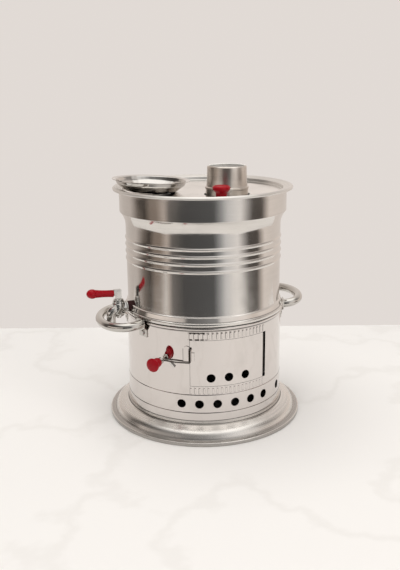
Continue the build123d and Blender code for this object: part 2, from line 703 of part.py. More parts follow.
with BuildPart() as tap_body:
    with BuildSketch(Plane(origin=(SHANK_END, 0, TAP_Z), z_dir=(-1, 0, 0))):
        Circle(SHANK_R)
    extrude(amount=SHANK_END - PLUG_X)
    with BuildSketch(Plane(origin=(FLANGE_X, 0, TAP_Z), z_dir=(-1, 0, 0))):
        Circle(FLANGE_R)
    extrude(amount=FLANGE_DEPTH)
    fillet(tap_body.edges().filter_by(GeomType.CIRCLE).group_by(SortBy.RADIUS)[-1], 0.9)
    with BuildSketch(Plane(origin=(FLANGE_X - FLANGE_DEPTH, 0, TAP_Z), z_dir=(-1, 0, 0))):
        RegularPolygon(7.2, 6, rotation=30)
    extrude(amount=4.2)
    with BuildSketch(Plane.XZ):
        with BuildLine():
            barrel = FilletPolyline(
                (PLUG_X, TAP_BOTTOM),
                (PLUG_X + BODY_R - 1.6, TAP_BOTTOM),
                (PLUG_X + BODY_R - 1.6, TAP_BOTTOM + 2.6),
                (PLUG_X + BODY_R, TAP_BOTTOM + 4.2),
                (PLUG_X + BODY_R, TAP_TOP - 4.0),
                (PLUG_X + BODY_R - 1.0, TAP_TOP - 2.6),
                (PLUG_X + BODY_R - 1.0, TAP_TOP),
                (PLUG_X, TAP_TOP),
                radius=0.6,
            )
            Line(barrel @ 1, barrel @ 0)
        make_face()
    revolve(axis=Axis((PLUG_X, 0, 0), (0, 0, 1)))
    with BuildLine(Plane.XZ):
        route = FilletPolyline(
            (PLUG_X, TAP_Z - 2), (SPOUT_X, TAP_Z - 3.5), (SPOUT_X, SPOUT_END), radius=7.5
        )
    with BuildSketch(Plane(origin=route @ 0, z_dir=route % 0)):
        Circle(SPOUT_R)
    sweep(path=route)
    with BuildSketch(Plane(origin=(SPOUT_X, 0, SPOUT_END), z_dir=(0, 0, 1))):
        Circle(SPOUT_R + 0.6)
    extrude(amount=2.6)
    with BuildSketch(Plane(origin=route @ 0, z_dir=route % 0)):
        Circle(SPOUT_BORE_R)
    sweep(path=route, mode=Mode.SUBTRACT)
    with BuildSketch(Plane(origin=(SPOUT_X, 0, SPOUT_END), z_dir=(0, 0, 1))):
        Circle(SPOUT_BORE_R)
    extrude(amount=4, mode=Mode.SUBTRACT)
    with BuildSketch(Plane(origin=(SHANK_END, 0, TAP_Z), z_dir=(-1, 0, 0))):
        Circle(SHANK_BORE_R)
    extrude(amount=SHANK_END - PLUG_X, mode=Mode.SUBTRACT)
    with BuildSketch(Plane.XZ):
        with BuildLine():
            Polyline(
                (PLUG_X, TAP_BOTTOM - 1),
                (PLUG_X + PLUG_BOTTOM_R, TAP_BOTTOM - 1),
                (PLUG_X + PLUG_TOP_R, TAP_TOP + 1),
                (PLUG_X, TAP_TOP + 1),
                close=True,
            )
        make_face()
    revolve(axis=Axis((PLUG_X, 0, 0), (0, 0, 1)), mode=Mode.SUBTRACT)
save(tap_body, "tap_body")

with BuildPart() as tap_gasket:
    with BuildSketch(Plane(origin=(FLANGE_X, 0, TAP_Z), z_dir=(1, 0, 0))):
        Circle(FLANGE_R - 0.7)
        Circle(SHANK_R + 0.05, mode=Mode.SUBTRACT)
    extrude(amount=8)
    with BuildSketch(Plane.XZ):
        with BuildLine():
            tank_wall()
            Polyline((RING_R, TANK_TOP), (60, TANK_TOP), (60, SEAM_Z + 0.1), (FIREBOX_R + 0.6, SEAM_Z + 0.1))
        make_face()
    revolve(axis=Axis.Z, mode=Mode.SUBTRACT)
save(tap_gasket, "tap_gasket")

WASHER_OUT = -(TANK_R - SHEET - 0.9)
with BuildPart() as tap_washer:
    with BuildSketch(Plane(origin=(WASHER_OUT, 0, TAP_Z), z_dir=(1, 0, 0))):
        Circle(8.0)
        Circle(SHANK_R + 0.05, mode=Mode.SUBTRACT)
    extrude(amount=1.6)
save(tap_washer, "tap_washer")

with BuildPart() as tap_lock_nut:
    with BuildSketch(Plane(origin=(WASHER_OUT + 1.6, 0, TAP_Z), z_dir=(1, 0, 0))):
        RegularPolygon(8.5, 6, rotation=30)
        Circle(SHANK_R + 0.03, mode=Mode.SUBTRACT)
    extrude(amount=5)
save(tap_lock_nut, "tap_lock_nut")

LEVER_TILT = 5.0
LEVER_START = -131.5
LEVER_Z = 185.2
LEVER_ROD_R = 2.6
GRIP_LENGTH = 38.5
GRIP_FROM = 1.2
plug_axis = Axis((PLUG_X, 0, 0), (0, 0, 1))
tilt = radians(LEVER_TILT)
lever_plane = Plane(
    origin=(LEVER_START, 0, LEVER_Z), x_dir=(0, 1, 0), z_dir=(-cos(tilt), 0, sin(tilt))
)

with BuildPart() as tap_plug:
    with BuildSketch(Plane.XZ):
        with BuildLine():
            Polyline(
                (PLUG_X, TAP_BOTTOM - 0.4),
                (PLUG_X + PLUG_BOTTOM_R - RUNNING_GAP, TAP_BOTTOM - 0.4),
                (PLUG_X + PLUG_TOP_R - RUNNING_GAP, TAP_TOP + 0.4),
                (PLUG_X + 6.8, TAP_TOP + 0.4),
                (PLUG_X + 6.8, TAP_TOP + 1.8),
                (PLUG_X + 5.4, TAP_TOP + 2.6),
                (PLUG_X, TAP_TOP + 2.6),
                close=True,
            )
        make_face()
    revolve(axis=plug_axis)
    with BuildSketch(Plane.XZ):
        with BuildLine():
            FilletPolyline(
                (PLUG_X + 4.2, TAP_TOP + 2),
                (PLUG_X + 4.2, 190.6),
                (LEVER_START - 0.6, 191.0),
                (LEVER_START - 0.6, 182.0),
                (PLUG_X - 3.6, 181.6),
                (PLUG_X - 3.6, TAP_TOP + 2),
                close=True,
                radius=0.9,
            )
        make_face()
    extrude(amount=2.0, both=True)
    with BuildSketch(lever_plane.offset(-1)):
        Circle(LEVER_ROD_R)
    extrude(amount=GRIP_LENGTH - 5)
    with BuildSketch(Plane(origin=(PLUG_X - 8, 0, TAP_Z - 2), z_dir=(1, 0, 0))):
        Circle(3.2)
    extrude(amount=16, mode=Mode.SUBTRACT)
    with BuildSketch(Plane.XY.offset(TAP_BOTTOM - 1)):
        with Locations((PLUG_X, 0)):
            Circle(1.5)
    extrude(amount=7, mode=Mode.SUBTRACT)
save(tap_plug, "tap_plug")

grip_section = Plane(
    origin=(LEVER_START, 0, LEVER_Z), x_dir=(-cos(tilt), 0, sin(tilt)), z_dir=(0, 1, 0)
)
with BuildPart() as tap_grip:
    with BuildSketch(grip_section):
        with BuildLine():
            Polyline((GRIP_FROM, LEVER_ROD_R), (GRIP_FROM, 4.4), (GRIP_FROM + 0.6, 5.0))
            ThreePointArc((GRIP_FROM + 0.6, 5.0), (15, 4.8), (27, 5.6))
            ThreePointArc((27, 5.6), (33.2, 6.2), (GRIP_LENGTH - 1, 3.4))
            Polyline(
                (GRIP_LENGTH - 1, 3.4),
                (GRIP_LENGTH, 1.6),
                (GRIP_LENGTH, 0),
                (GRIP_LENGTH - 6, 0),
                (GRIP_LENGTH - 6, LEVER_ROD_R),
                (GRIP_FROM, LEVER_ROD_R),
            )
        make_face()
    revolve(axis=Axis((LEVER_START, 0, LEVER_Z), (-cos(tilt), 0, sin(tilt))))
save(tap_grip, "tap_grip")

with BuildPart() as plug_washer:
    with BuildSketch(Plane.XY.offset(TAP_BOTTOM - 1.4)):
        with Locations((PLUG_X, 0)):
            Circle(5.0)
            Circle(1.55, mode=Mode.SUBTRACT)
    extrude(amount=1.0)
save(plug_washer, "plug_washer")

with BuildPart() as plug_screw:
    with BuildSketch(Plane.XY.offset(TAP_BOTTOM - 3.6)):
        with Locations((PLUG_X, 0)):
            Circle(3.4)
    extrude(amount=2.2)
    fillet(plug_screw.edges().filter_by(GeomType.CIRCLE).sort_by(Axis.Z)[0], 0.9)
    with BuildSketch(Plane.XY.offset(TAP_BOTTOM - 1.4)):
        with Locations((PLUG_X, 0)):
            Circle(1.5)
    extrude(amount=7)
save(plug_screw, "plug_screw")
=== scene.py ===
import json
from math import atan2, cos, degrees, pi, radians, sin, tan

import bmesh
import bpy
from mathutils import Matrix, Vector


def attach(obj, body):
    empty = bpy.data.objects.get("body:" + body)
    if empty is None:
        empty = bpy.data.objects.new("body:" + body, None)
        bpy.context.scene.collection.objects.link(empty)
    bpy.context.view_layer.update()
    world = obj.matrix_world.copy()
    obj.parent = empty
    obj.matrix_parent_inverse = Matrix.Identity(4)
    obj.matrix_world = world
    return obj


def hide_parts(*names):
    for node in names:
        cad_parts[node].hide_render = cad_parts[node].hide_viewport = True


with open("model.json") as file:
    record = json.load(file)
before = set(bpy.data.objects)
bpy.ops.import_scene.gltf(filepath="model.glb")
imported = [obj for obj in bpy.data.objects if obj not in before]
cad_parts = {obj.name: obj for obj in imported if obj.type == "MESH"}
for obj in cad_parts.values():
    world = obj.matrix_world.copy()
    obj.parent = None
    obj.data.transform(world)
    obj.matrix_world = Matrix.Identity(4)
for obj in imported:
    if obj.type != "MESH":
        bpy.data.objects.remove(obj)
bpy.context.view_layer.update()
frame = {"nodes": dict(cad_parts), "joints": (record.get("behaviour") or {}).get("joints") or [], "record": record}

nodes = frame["nodes"]

# ---------------------------------------------------------------- foot
# A wide ring pressed from one stainless blank: a collar that grips the firebox, a domed top, a flat
# lip and a hem folded under it. It is brushed while it turns, so its lines run round it.
metre = 1000  # outlines and finishes are measured in mm
sheet = 0.8  # the thickness of every pressing
# The near-black of painted shade, laid into creases, gaps and folds.
painted_shade_colour = (0.035, 0.03, 0.026)


class Tone:
    """One socket of a node tree, written in sums like a number."""

    def __init__(self, work, socket):
        self.work = work
        self.socket = socket

    def sum(self, operation, *values):
        """A Math node's operation on the values, or on this tone where none are given."""
        values = dict(enumerate(values or (self,)))
        return self.work.node("ShaderNodeMath", {"operation": operation}, values)

    def __add__(self, other):
        return self.sum("ADD", self, other)

    def __sub__(self, other):
        return self.sum("SUBTRACT", self, other)

    def __rsub__(self, other):
        return self.sum("SUBTRACT", other, self)

    def __mul__(self, other):
        return self.sum("MULTIPLY", self, other)

    def __truediv__(self, other):
        return self.sum("DIVIDE", self, other)

    __radd__ = __add__
    __rmul__ = __mul__

    def between(self, low, high):
        """0 up to low, 1 from high on, and smooth between."""
        values = {0: self, 1: low, 2: high, 3: 0.0, 4: 1.0}
        return self.work.node("ShaderNodeMapRange", {"interpolation_type": "SMOOTHSTEP"}, values)

    def near(self, middle, width):
        """1 at the middle, falling to 0 at that width on either side."""
        return 1 - (self - middle).sum("ABSOLUTE").between(0.0, width)

    def band(self, start, full, wane, end):
        """0 up to the start, 1 from full to wane, and 0 from the end on."""
        return self.between(start, full) * (1 - self.between(wane, end))


class Work:
    """One node tree, with a short way to make its nodes and join them."""

    def __init__(self, tree):
        self.tree = tree

    def join(self, socket, value):
        """Feeds a socket with a tone, or sets it to a plain value; a colour is (red, green, blue)."""
        if isinstance(value, Tone):
            self.tree.links.new(value.socket, socket)
        elif socket.type == "RGBA":
            socket.default_value = (*value, 1.0)
        else:
            socket.default_value = value

    def node(self, kind, settings, values, output=0):
        """Makes a node: its settings first, then its sockets. Gives one of its outputs."""
        made = self.tree.nodes.new(kind)
        for name, value in settings.items():
            setattr(made, name, value)
        for name, value in values.items():
            self.join(made.inputs[name], value)
        if made.outputs:
            return Tone(self, made.outputs[output])

    def parts(self, vector):
        """A vector's parts along X, Y and Z."""
        return [self.node("ShaderNodeSeparateXYZ", {}, {0: vector}, axis) for axis in "XYZ"]

    def blend(self, amount, first, second):
        """The first colour where the amount is 0, the second where it is 1."""
        values = {0: amount, 6: first, 7: second}
        return self.node("ShaderNodeMix", {"data_type": "RGBA"}, values, 2)


class Finish(Work):
    """A surface finish on the steel, plastic or rubber of a piece."""

    def __init__(self, name, metal=1.0, **fixed):
        self.material = bpy.data.materials.new(name)
        self.material.use_nodes = True
        super().__init__(self.material.node_tree)
        self.surface = self.tree.nodes["Principled BSDF"]
        self.set("Metallic", metal)
        for socket, value in fixed.items():
            self.set(socket.replace("_", " "), value)
        self.place = self.node("ShaderNodeTexCoord", {}, {}, "Object")
        self.x, self.y, self.z = (part * metre for part in self.parts(self.place))

    def set(self, socket, value):
        """Feeds or sets a socket of the surface's shader."""
        self.join(self.surface.inputs[socket], value)

    def paint(self, colour):
        """Sets the colour and keeps it, so that stains and painted shade can be laid over it."""
        self.coat = colour
        self.set("Base Color", colour)

    def lay_stain_and_shade(self, amount, colour=painted_shade_colour):
        """Lays a colour over the finish, as thick as the amount from 0 to 1, for a stain or for painted shade."""
        self.paint(self.blend(amount, self.coat, colour))

    def rough(self, amount):
        """Sets how rough the surface is and keeps it, so that a part of it can be made rougher."""
        self.roughness = amount
        self.set("Roughness", amount)

    def relief(self, height, depth=1.0):
        """Raises the surface by height times depth mm."""
        values = {"Height": height, "Distance": depth / metre, "Strength": 1.0}
        self.set("Normal", self.node("ShaderNodeBump", {}, values))

    def grain(self, scale, detail=3.0, stretch=(1, 1, 1), shift=(0, 0, 0)):
        """Noise of about `scale` lumps in a metre, stretched along the axes."""
        values = {"Vector": self.place, "Scale": stretch, "Location": shift}
        spot = self.node("ShaderNodeMapping", {}, values)
        values = {"Vector": spot, "Scale": scale, "Detail": detail}
        return self.node("ShaderNodeTexNoise", {}, values)

    def from_axis(self, x=0.0, y=0.0):
        """The distance from an upright axis, in mm."""
        across, back = self.x - x, self.y - y
        return (across * across + back * back).sum("SQRT")

    def turn(self):
        """The turn round the samovar's axis, in degrees from the front towards +X."""
        return self.x.sum("ARCTAN2", self.x, 0 - self.y) * degrees(1)


def shade(tint, level):
    """A tint made lighter or darker."""
    return [part * level for part in tint]


def brushed(name, wave, dull=0.0, tint=(0.70, 0.675, 0.645)):
    """Stainless sheet, brushed round the axis, with hand marks and a slight unevenness."""
    steel = Finish(name, Anisotropic=0.55, Anisotropic_Rotation=0.25)
    lines = steel.grain(1.0, 2.0, stretch=(9, 9, 1500))
    fine = steel.grain(1.0, 2.0, stretch=(30, 30, 5200), shift=(3, 1, 7))
    hands = steel.grain(26.0, 4.0, shift=(1, 2, 3)).between(0.45, 0.78)
    swell = steel.grain(11.0, 1.0, shift=(5, 2, 1))
    dents = steel.grain(38.0, 1.0, shift=(2, 8, 4))
    streak = (lines * 0.6 + fine * 0.4).between(0.3, 0.7)
    steel.rough(0.07 + dull + streak * 0.06 + hands * 0.05)
    steel.paint(steel.blend(streak * 0.6 + hands * 0.4, shade(tint, 1.06), shade(tint, 0.90)))
    steel.relief(swell * wave * 0.6 + dents * wave * 0.12 + lines * 0.004 + fine * 0.002)
    return steel


def bent(corners, steps=7):
    """A line through corners of (across, up) or (across, up, bend radius) in mm.

    A corner with a radius is bent to it in that many steps, and any other stays sharp.
    """
    nearly_straight = radians(89.5)
    line = [Vector(corners[0][:2])]
    for before, corner, after in zip(corners, corners[1:], corners[2:]):
        here = Vector(corner[:2])
        back = (Vector(before[:2]) - here).normalized()
        ahead = (Vector(after[:2]) - here).normalized()
        half = back.angle(ahead) / 2
        if len(corner) < 3 or half > nearly_straight:
            line.append(here)
            continue
        radius = corner[2]
        start = here + back * radius / tan(half)
        end = here + ahead * radius / tan(half)
        middle = here + (back + ahead).normalized() * radius / sin(half)
        first = atan2(*(start - middle).yx)
        swing = (atan2(*(end - middle).yx) - first + pi) % (2 * pi) - pi
        for i in range(steps + 1):
            turn = first + swing * i / steps
            line.append(middle + radius * Vector((cos(turn), sin(turn))))
    line.append(Vector(corners[-1][:2]))
    return line


def folded(line, thick):
    """The closed outline of a sheet that lies to the left of a line, or the right if negative.

    At a sharp corner the sheet's other side stands off by twice its thickness at most.
    """
    other = []
    for i, here in enumerate(line):
        around = line[max(0, i - 1) : i + 2]
        ways = [after - before for before, after in zip(around, around[1:])]
        ways = [way.normalized() for way in ways if way.length > 1e-6]  # none from a doubled point
        lefts = [Vector((-way.y, way.x)) for way in ways]
        normal = sum(lefts, Vector((0, 0))).normalized()
        lean = max(0.5, normal.dot(lefts[0]))
        other.append(here + normal * thick / lean)
    return line + other[::-1]


def circle(sides):
    """The places round a circle of radius 1, as (cos, sin)."""
    turns = [2 * pi * i / sides for i in range(sides)]
    return [(cos(turn), sin(turn)) for turn in turns]


def walled(form, low, high):
    """Puts faces between two rings of points; a ring on the axis is one point, repeated."""
    for i in range(len(low)):
        j = (i + 1) % len(low)
        corners = dict.fromkeys((low[i], low[j], high[j], high[i]))
        form.faces.new(list(corners))


def placed(name, data):
    """A new object in the scene."""
    thing = bpy.data.objects.new(name, data)
    bpy.context.scene.collection.objects.link(thing)
    return thing


def creased(mesh):
    """Shades a mesh smooth but for edges of more than 40 degrees."""
    mesh.shade_smooth()
    mesh.set_sharp_from_angle(angle=radians(40))


def shaped(name, form):
    """An object from a worked form."""
    bmesh.ops.recalc_face_normals(form, faces=form.faces)
    mesh = bpy.data.meshes.new(name)
    form.to_mesh(mesh)
    form.free()
    creased(mesh)
    return placed(name, mesh)


def spun(name, outline, sides, foot=(0, 0, 0), along=(0, 0, 1)):
    """A piece turned about an axis: the outline is a closed line of (radius, height) in mm."""
    tilt = Vector(along).to_track_quat("Z", "Y").to_matrix()
    foot = Vector(foot)
    form = bmesh.new()
    rings = []
    for radius, height in outline:
        on_axis = radius < 1e-4
        if on_axis:
            tip = form.verts.new((foot + tilt @ Vector((0, 0, height))) / metre)
            rings.append([tip] * sides)
        else:
            spots = [Vector((radius * x, radius * y, height)) for x, y in circle(sides)]
            rings.append([form.verts.new((foot + tilt @ spot) / metre) for spot in spots])
    for low, high in zip(rings, rings[1:] + rings[:1]):
        both_on_axis = low[0] is low[1] and high[0] is high[1]
        if not both_on_axis:
            walled(form, low, high)
    bmesh.ops.remove_doubles(form, verts=form.verts, dist=1e-7)
    return shaped(name, form)


def fitted(piece, body, slot, finish, *stands_for):
    """Gives a piece its finish, its body and the nodes that it stands for."""
    piece.data.materials.clear()
    piece.data.materials.append(finish.material)
    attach(piece, body)
    if stands_for:
        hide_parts(*stands_for)


collar_radius, collar_top = 111.75, 23.6
lip_radius, lip_height = 131.7, 4.5
foot_radius = 138.6
hem_width, hem_height = 1.9, 2.2
foot_line = bent(
    [
        (collar_radius, collar_top),
        (collar_radius, 19.75, 0.5),
        (115.6, 19.2, 2.6),
        (127.4, 14.6, 12.0),
        (lip_radius, lip_height + 0.95, 0.7),
        (foot_radius, lip_height, 1.2),
        (foot_radius, 0.0),
    ],
    steps=10,
)
foot_ring = spun("foot_ring", folded(foot_line, -sheet), sides=320)
hem_out = foot_radius - 0.1
hem_in = hem_out - hem_width
hem_line = bent([(hem_out, 0.0), (hem_out, hem_height), (hem_in, hem_height), (hem_in, 0.0)])
foot_hem = spun("foot_hem", hem_line, sides=320)

foot_steel = brushed("foot_brushed", wave=0.12, dull=0.17)
foot_out = foot_steel.from_axis()
# The lip and the hem's edge are painted darker grey, a painted reflection of the dark room, and
# painted shade darkens the crease where the collar meets the dome.
lip = foot_out.band(lip_radius - 1.5, lip_radius - 0.3, foot_radius - 1.8, foot_radius - 1.0)
hem = foot_out.between(foot_radius - 0.4, foot_radius)
foot_steel.lay_stain_and_shade(lip * 0.5 + hem * 0.45, (0.14, 0.127, 0.118))
collar_seam = foot_out.near(112.3, 1.2) * (1 - foot_steel.z.between(19.7, 20.3))
foot_steel.lay_stain_and_shade(collar_seam * 0.95)
fitted(foot_ring, "stove", "brushed_steel", foot_steel, "foot")
fitted(foot_hem, "stove", "brushed_steel", foot_steel)

# ---------------------------------------------------------------- firebox
# One sheet rolled to a cylinder, with two shallow steps, a rolled upper edge, punched air holes and
# a doorway. It is polished bright but thin, so it ripples, and it is sooty inside.
wall_radius = 110.0


def polar(radius, turn, height):
    """The place at a radius, a turn from the front towards +X, and a height, in mm."""
    return Vector((radius * sin(radians(turn)), -radius * cos(radians(turn)), height))


def along_wall(length):
    """The turn in degrees that a length in mm takes along the wall."""
    return length / (radians(1) * wall_radius)


def evaluated(piece):
    """Works the modifiers of a piece into its mesh."""
    view = bpy.context.evaluated_depsgraph_get()
    mesh = bpy.data.meshes.new_from_object(piece.evaluated_get(view))
    piece.modifiers.clear()
    piece.data = mesh


def drilled(piece, tool):
    """Cuts the tool's shape out of a piece, and throws the tool away."""
    cut = piece.modifiers.new("cut", "BOOLEAN")
    cut.operation = "DIFFERENCE"
    cut.solver = "EXACT"
    cut.object = tool
    evaluated(piece)
    bpy.data.objects.remove(tool)
    creased(piece.data)


def punches(name, holes, deep=20, sides=64):
    """Round punches through the wall: each hole is (turn, height, radius)."""
    form = bmesh.new()
    for turn, height, radius in holes:
        ahead = polar(1, turn, 0)
        aside = Vector((-ahead.y, ahead.x, 0))
        ends = []
        for reach in (wall_radius - deep / 2, wall_radius + deep / 2):
            ring = []
            for across, up in circle(sides):
                spot = ahead * reach + aside * radius * across
                spot.z = height + radius * up
                ring.append(form.verts.new(spot / metre))
            ends.append(ring)
        walled(form, *ends)
        form.faces.new(ends[0][::-1])
        form.faces.new(ends[1])
    return shaped(name, form)


def sector_block(name, turns, heights, radii, steps=24):
    """A block between two turns, two heights and two radii."""
    (first, last), (low, high), (inner, outer) = turns, heights, radii
    corners = ((inner, low), (outer, low), (outer, high), (inner, high))
    form = bmesh.new()
    slices = []
    for i in range(steps + 1):
        turn = first + (last - first) * i / steps
        slices.append([form.verts.new(polar(r, turn, h) / metre) for r, h in corners])
    for near, far in zip(slices, slices[1:]):
        walled(form, near, far)
    form.faces.new(slices[0][::-1])
    form.faces.new(slices[-1])
    return shaped(name, form)


def lined(piece, finish, reach, axis=(0, 0)):
    """Puts a finish on the faces that look inwards, up to a distance from an axis in mm."""
    piece.data.materials.append(finish.material)
    for face in piece.data.polygons:
        out = face.center.xy - Vector(axis) / metre
        inward = face.normal.xy.dot(out) < -0.2 * out.length
        if inward and out.length * metre < reach:
            face.material_index = 1


def bright(name, ripple, tint=(0.70, 0.66, 0.635), lumps=19.0):
    """Thin stainless sheet, polished bright, with the ripples that rolling leaves."""
    steel = Finish(name)
    ripples = steel.grain(lumps, 1.5, stretch=(1, 1, 0.8), shift=(4, 1, 2))
    dimples = steel.grain(60.0, 2.0, shift=(1, 6, 3))
    lines = steel.grain(1.0, 2.0, stretch=(14, 14, 2400))
    hands = steel.grain(30.0, 4.0, shift=(2, 2, 9)).between(0.48, 0.8)
    steel.rough(0.045 + hands * 0.06 + lines * 0.03)
    steel.paint(steel.blend(hands, tint, shade(tint, 0.92)))
    steel.relief(ripples * ripple * 0.9 + dimples * ripple * 0.10 + lines * 0.002)
    return steel


lower_step, upper_step = 35.1, 60.7
step_in = 0.45
bead_low, bead_top, bead_out = 150.4, 155.6, 2.2
firebox_line = bent(
    [
        (wall_radius + 2 * step_in, 19.6),
        (wall_radius + 2 * step_in, lower_step - 0.5, 1.0),
        (wall_radius + step_in, lower_step + 0.5, 1.0),
        (wall_radius + step_in, upper_step - 0.5, 1.0),
        (wall_radius, upper_step + 0.5, 1.0),
        (wall_radius, bead_low, 0.5),
        (wall_radius + bead_out, bead_low + 0.6, 1.6),
        (wall_radius + bead_out, bead_top - 0.6, 1.6),
        (wall_radius, bead_top),
    ]
)
firebox = spun("firebox", folded(firebox_line, sheet), sides=360)

# The doorway is the door's size with a gap round it, and runs on to the right as the hinge's slot.
door_turns, door_heights = (-31.5, 24.5), (73.3, 137.2)
gap, gap_turn = 0.4, 0.21  # the same gap, in mm and in degrees
pin_lead, slot_length = 2.3, 3.4  # along the wall: from the door to its pin, and on past the pin
slot_end = door_turns[1] + along_wall(pin_lead) + along_wall(slot_length)
doorway = sector_block(
    "doorway",
    turns=(door_turns[0] - gap_turn, slot_end),
    heights=(door_heights[0] - gap, door_heights[1] + gap),
    radii=(wall_radius - 10, wall_radius + 10),
)
drilled(firebox, doorway)

# Six air holes in an even row run under the door, and a seventh stands apart on the right.
first_hole, hole_pitch, last_hole = -37.9, 12.7, 46.2
hole_height, hole_radius = 47.6, 6.0
hole_turns = [first_hole + hole_pitch * i for i in range(6)] + [last_hole]
air_holes = [(turn, hole_height, hole_radius) for turn in hole_turns]
drilled(firebox, punches("air_punches", air_holes))

wall_steel = bright("firebox_bright", ripple=1.5)
height = wall_steel.z
turn = wall_steel.turn()
# Painted shade darkens the creases: by the rolled edge, the steps and the foot's collar.
for crease, width, thick in (
    (bead_top + 0.1, 1.7, 0.97),
    (bead_low + 0.3, 2.1, 0.97),
    (upper_step, 0.7, 0.6),
    (lower_step, 0.8, 0.85),
    (collar_top + 0.2, 0.8, 0.8),
):
    wall_steel.lay_stain_and_shade(height.near(crease, width) * thick)

# A dark stroke of painted shade lies beside each flute, and less of it in the lower row.
flute_count = 19
first_flute, last_flute = -31.0, 25.0
upper_row, lower_row = 143.7, 66.6
flute_pitch = (last_flute - first_flute) / (flute_count - 1)
span = turn.band(first_flute - 1.6, first_flute - 0.6, last_flute + 0.6, last_flute + 1.6)
in_rows = height.near(upper_row, 6.8).between(0.0, 0.35)
in_rows = in_rows + height.near(lower_row, 6.8).between(0.0, 0.35) * 0.55
beside = ((turn - first_flute) / flute_pitch + 0.35).sum("FRACT").near(0.0, 0.3)
uneven = wall_steel.grain(34.0, 1.0, shift=(3, 3, 1)).between(0.35, 0.6) * 0.6 + 0.4
wall_steel.lay_stain_and_shade(beside * span * in_rows * uneven * 0.8, (0.09, 0.08, 0.07))

# Two dark folds of painted shade mark where the sheet puckers above the doorway's left corner, and a
# painted shadow runs in an upright line beside the latch's clip.
pucker = wall_steel.grain(210.0, 1.0, stretch=(1, 1, 0.2), shift=(6, 1, 1)).between(0.34, 0.46)
corner = turn.band(-33.5, -31.0, -22.0, -18.0)
for fold, width, thick in ((138.6, 1.6, 0.95), (147.6, 1.7, 0.9)):
    wall_steel.lay_stain_and_shade(height.near(fold, width).between(0.1, 0.6) * pucker * corner * thick)
clip_shadow = height.band(108.5, 110.0, 125.0, 126.5) * turn.near(-36.3, 0.5)
wall_steel.lay_stain_and_shade(clip_shadow * 0.6)
fitted(firebox, "stove", "bright_steel", wall_steel, "firebox_shell")

soot = Finish("soot", metal=0.35)
flakes = soot.grain(90.0, 5.0)
soot.rough(0.55 + flakes * 0.3)
soot.paint(soot.blend(flakes, (0.085, 0.078, 0.070), (0.02, 0.02, 0.02)))
soot.relief(flakes, 0.4)
lined(firebox, soot, reach=wall_radius - 0.2)

# ---------------------------------------------------------------- flutes
# Rows of upright flutes are pressed in the firebox's sheet above the doorway and below it, to stiffen
# it. Each is a low rounded ridge with round ends, and one tool makes both rows.


class Press(Work):
    """A press tool: a Geometry Nodes tree with named inputs of (kind, value)."""

    def __init__(self, name, sizes):
        super().__init__(bpy.data.node_groups.new(name, "GeometryNodeTree"))
        self.tree.is_modifier = True
        sockets = self.tree.interface
        for label, (kind, value) in sizes.items():
            sockets.new_socket(label, in_out="INPUT", socket_type=kind).default_value = value
        sockets.new_socket("Pressed", in_out="OUTPUT", socket_type="NodeSocketGeometry")
        entry = self.tree.nodes.new("NodeGroupInput")
        self.sizes = {label: Tone(self, entry.outputs[label]) for label in sizes}

    def joined(self, *shapes):
        """All the shapes as one."""
        gather = self.tree.nodes.new("GeometryNodeJoinGeometry")
        for shape in shapes:
            self.join(gather.inputs[0], shape)
        return Tone(self, gather.outputs[0])

    def give(self, shape):
        """Ends the tree with the shape that it makes."""
        self.join(self.tree.nodes.new("NodeGroupOutput").inputs[0], shape)


flute_height, flute_radius, flute_out = 10.5, 1.9, 0.7
stem_points, edge_sides = 21, 20
# The tool counts its turns from +X, which is 90 degrees round from the front.
press = Press(
    "flute_rows",
    {
        "Flutes": ("NodeSocketInt", flute_count),
        "Ring radius": ("NodeSocketFloat", (wall_radius + flute_out - flute_radius) / metre),
        "First turn": ("NodeSocketFloat", radians(first_flute - 90)),
        "Whole turn": ("NodeSocketFloat", radians(last_flute - first_flute)),
        "Flute radius": ("NodeSocketFloat", flute_radius / metre),
        "Flute height": ("NodeSocketFloat", flute_height / metre),
        "Upper row": ("NodeSocketVector", (0, 0, upper_row / metre)),
        "Lower row": ("NodeSocketVector", (0, 0, lower_row / metre)),
    },
)
size = press.sizes
places = press.node(
    "GeometryNodeCurveArc",
    {},
    {
        "Resolution": size["Flutes"],
        "Radius": size["Ring radius"],
        "Start Angle": size["First turn"],
        "Sweep Angle": size["Whole turn"],
    },
)
half = size["Flute height"] * 0.5
top = press.node("ShaderNodeCombineXYZ", {}, {"Z": half})
bottom = press.node("ShaderNodeCombineXYZ", {}, {"Z": 0 - half})
stem = press.node("GeometryNodeCurvePrimitiveLine", {}, {"Start": bottom, "End": top})
stem = press.node("GeometryNodeResampleCurve", {}, {"Curve": stem, "Count": stem_points})
# The flute keeps its width along its middle and closes in a round at both ends.
along = press.node("GeometryNodeSplineParameter", {}, {}, "Factor")
from_middle = (along * 2.0 - 1.0).sum("ABSOLUTE")
width = (1.0 - from_middle.sum("POWER", from_middle, 6.0)).sum("SQRT")
edge = press.node(
    "GeometryNodeCurvePrimitiveCircle", {}, {"Resolution": edge_sides, "Radius": size["Flute radius"]}
)
flute = press.node(
    "GeometryNodeCurveToMesh", {}, {"Curve": stem, "Profile Curve": edge, "Scale": width}
)
row = press.node("GeometryNodeInstanceOnPoints", {}, {"Points": places, "Instance": flute})
upper, lower = (
    press.node("GeometryNodeTransform", {}, {"Geometry": row, "Translation": size[name]})
    for name in ("Upper row", "Lower row")
)
rows = press.joined(upper, lower)
rows = press.node("GeometryNodeRealizeInstances", {}, {"Geometry": rows})
rows = press.node(
    "GeometryNodeSetMaterial", {}, {"Geometry": rows, "Material": wall_steel.material}
)
press.give(rows)

flutes = placed("flutes", bpy.data.meshes.new("flutes"))
flutes.modifiers.new("rows", "NODES").node_group = press.tree
evaluated(flutes)
flutes.data.shade_smooth()
fitted(flutes, "stove", "bright_steel", wall_steel)

